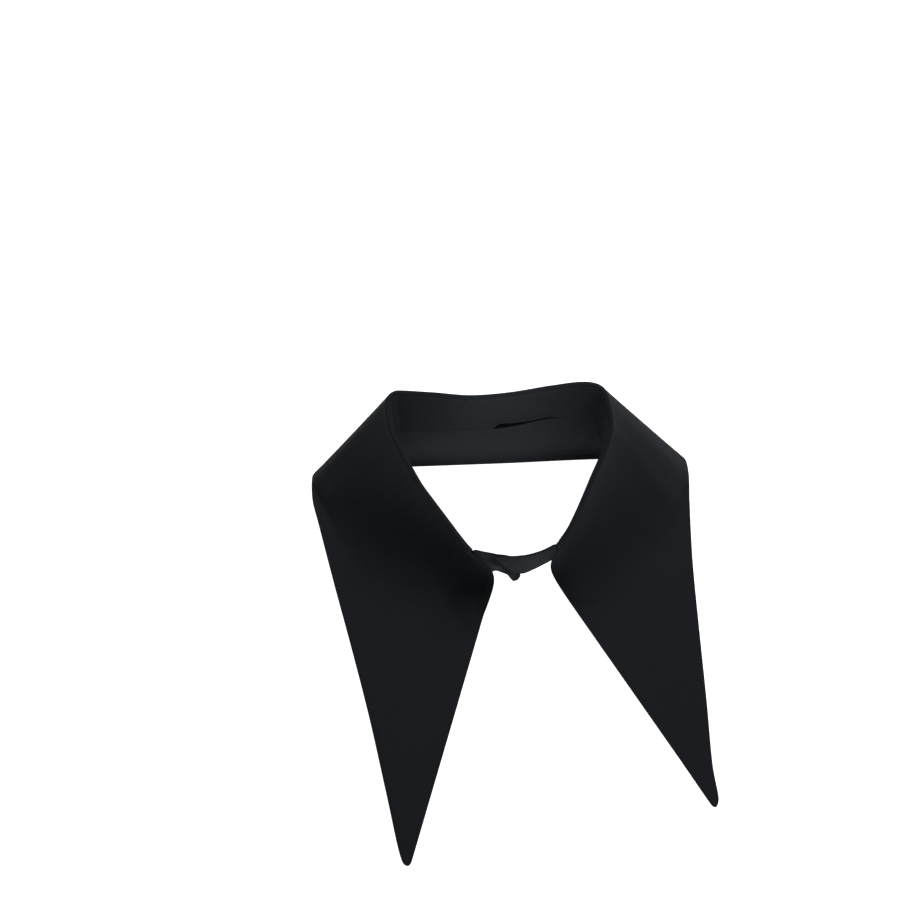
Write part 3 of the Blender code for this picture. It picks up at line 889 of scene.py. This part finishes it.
# Soft boxes: where each stands, its size and its power. All face the collar.
SoftBox = namedtuple("SoftBox", "name place size power")
SOFT_BOXES = (
    SoftBox("high_behind", (0.1, 1.1, 1.0), 0.9, 13.2),
    SoftBox("high_front_right", (0.9, -0.8, 1.0), 0.9, 5.7),
)
# A dim spot over the front that lights the stand's inside at the back
NECK_LAMP_FROM = (0.0, -0.75, 0.55)
NECK_LAMP_TO = (0.0, 0.124, 0.052)
NECK_LAMP_CONE = math.radians(6.8)
NECK_LAMP_POWER = 22.0
TABLE_GLOW = 1.1
WORLD_STRENGTH = 0.02


def make_table():
    size = 8.0
    mesh = bpy.data.meshes.new("table")
    corners = [(-size, -size, 0.0), (size, -size, 0.0), (size, size, 0.0), (-size, size, 0.0)]
    mesh.from_pydata(corners, [], [(0, 1, 2, 3)])
    mesh.materials.append(table_white())
    table = bpy.data.objects.new("table", mesh)
    table.location.z = -0.00005
    bpy.context.scene.collection.objects.link(table)
    return table


def make_lights():
    for box in SOFT_BOXES:
        light = bpy.data.lights.new(box.name, "AREA")
        light.shape = "SQUARE"
        light.size = box.size
        light.energy = box.power
        lamp = bpy.data.objects.new(box.name, light)
        lamp.location = box.place
        lamp.rotation_euler = (Vector((0, 0, 0)) - Vector(box.place)).to_track_quat("-Z", "Y").to_euler()
        bpy.context.scene.collection.objects.link(lamp)
    lamp_data = bpy.data.lights.new("neck_lamp", "SPOT")
    lamp_data.spot_size = NECK_LAMP_CONE
    lamp_data.spot_blend = 1.0
    lamp_data.shadow_soft_size = 0.04
    lamp_data.energy = NECK_LAMP_POWER
    neck_lamp = bpy.data.objects.new("neck_lamp", lamp_data)
    neck_lamp.location = NECK_LAMP_FROM
    aim = Vector(NECK_LAMP_TO) - Vector(NECK_LAMP_FROM)
    neck_lamp.rotation_euler = aim.to_track_quat("-Z", "Y").to_euler()
    bpy.context.scene.collection.objects.link(neck_lamp)
    world = bpy.data.worlds.new("studio")
    world.use_nodes = True
    sky = world.node_tree.nodes["Background"]
    sky.inputs["Color"].default_value = (1.0, 1.0, 1.0, 1.0)
    sky.inputs["Strength"].default_value = WORLD_STRENGTH
    bpy.context.scene.world = world


def make_camera():
    data = bpy.data.cameras.new("camera")
    data.lens = LENS
    data.sensor_width = 36.0
    camera = bpy.data.objects.new("camera", data)
    back = np.array([0.0, -math.cos(CAMERA_ELEVATION), math.sin(CAMERA_ELEVATION)])
    camera.location = ((LOOKS_AT + back * CAMERA_DISTANCE) * MM).tolist()
    camera.rotation_euler = (math.pi / 2 - CAMERA_ELEVATION, 0.0, 0.0)
    bpy.context.scene.collection.objects.link(camera)
    bpy.context.scene.camera = camera


def main():
    bpy.context.scene.view_settings.view_transform = "Standard"
    cloth = shirting("black_shirting", (0.0130, 0.0151, 0.0184, 1), (0.0168, 0.0196, 0.0238, 1))
    sewing = thread()
    fall, middle, normal, front, outer, upper, lower = make_fall(cloth)
    stand, stand_grid, stand_gap, stand_upper, sections = make_stand(cloth)
    fall_sewing = make_fall_stitches(middle, normal, front, outer, upper, lower, sewing)
    stand_sewing = make_stand_stitches(stand_grid, stand_gap, stand_upper, sewing)
    # the strip in the stand's open lower seam is coloured near-black as painted shade
    strip = make_strip(sections, painted_shade_cloth())
    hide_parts("collar_fall")
    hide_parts("collar_stand")
    for piece, slot in ((fall, "fall_cloth"), (fall_sewing, "fall_cloth"),
                        (stand, "stand_cloth"), (stand_sewing, "stand_cloth"),
                        (strip, "stand_cloth")):
        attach(piece, "root")
    black = snap_plastic()
    for name in ("snap_socket", "snap_stud"):
        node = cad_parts[name]
        for slot in node.material_slots:
            slot.material = black
    make_table()
    make_lights()
    make_camera()


main()
